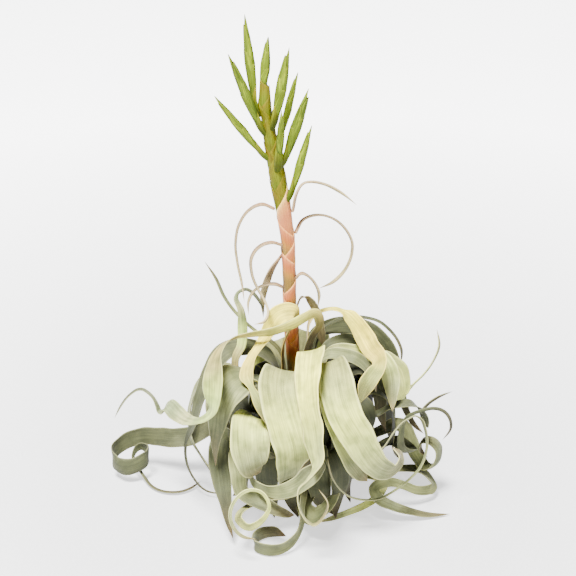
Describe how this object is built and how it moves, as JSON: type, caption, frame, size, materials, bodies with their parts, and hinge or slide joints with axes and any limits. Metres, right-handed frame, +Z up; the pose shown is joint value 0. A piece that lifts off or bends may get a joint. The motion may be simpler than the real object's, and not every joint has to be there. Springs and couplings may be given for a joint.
{
  "type": "air plant",
  "caption": "Air plant in bloom: a rosette of long silver ribbon leaves that arch over and curl, with an upright flower stem, curling bract tips and flat green spikelets.",
  "frame": {"origin": "centre of the flat foot of the short stem, on the surface that the plant rests on", "axes": "+Z up along the flower stem, +X to the right seen from the front, -Y towards the viewer"},
  "size_m": [0.3126, 0.2341, 0.433],
  "materials": {
    "leaf": "matte",
    "leaf_shade": "matte",
    "leaf_cream": "matte",
    "bract": "matte",
    "blade": "matte",
    "spikelet": "satin",
    "stem": "matte"
  },
  "bodies": {
    "root": {"stem_base": "stem", "scape": "bract", "leaf_front_bright": "leaf_cream", "leaf_front_left": "leaf", "leaf_front_right": "leaf", "leaf_left_wide": "leaf", "leaf_lower_left": "leaf", "leaf_cup": "leaf_cream", "leaf_lower_pale": "leaf", "leaf_lower_dark": "leaf_shade", "leaf_loop": "leaf", "leaf_bottom_coil": "leaf", "leaf_lower_cup": "leaf", "leaf_behind_right": "leaf", "leaf_folded_right": "leaf", "leaf_strap_right": "leaf", "leaf_pale_loop": "leaf_cream", "leaf_right_coil": "leaf", "leaf_right_tendril": "leaf_shade", "leaf_right_pale": "leaf", "leaf_right_band": "leaf_shade", "leaf_arch_outer": "leaf_shade", "leaf_arch_middle": "leaf_shade", "leaf_arch_pale": "leaf", "leaf_peach_band": "leaf_cream", "leaf_right_tip": "leaf", "leaf_long_band": "leaf", "leaf_yellow_twist": "leaf_cream", "leaf_orange_strip": "leaf_cream", "leaf_olive_left": "leaf_shade", "leaf_olive_low": "leaf_shade", "leaf_left_coil": "leaf", "leaf_heart_right": "leaf_shade", "leaf_heart_left": "leaf_shade", "leaf_left_thin": "leaf_shade", "leaf_right_thin": "leaf_shade", "leaf_strap_brown": "blade", "leaf_back_1": "leaf", "leaf_back_2": "leaf_shade", "leaf_back_3": "leaf", "leaf_back_4": "leaf_shade", "leaf_back_5": "leaf", "leaf_back_6": "leaf_shade", "leaf_back_7": "leaf", "blade_right_high": "blade", "blade_left_high": "blade", "blade_right_loop": "blade", "blade_left_hook": "blade", "blade_brown": "blade", "blade_thin_brown": "blade", "blade_salmon": "blade", "spikelet_top_left": "spikelet", "spikelet_top": "spikelet", "spikelet_right_1": "spikelet", "spikelet_right_2": "spikelet", "spikelet_right_3": "spikelet", "spikelet_right_4": "spikelet", "spikelet_left_1": "spikelet", "spikelet_left_2": "spikelet", "spikelet_front": "spikelet"}
  },
  "joints": []
}
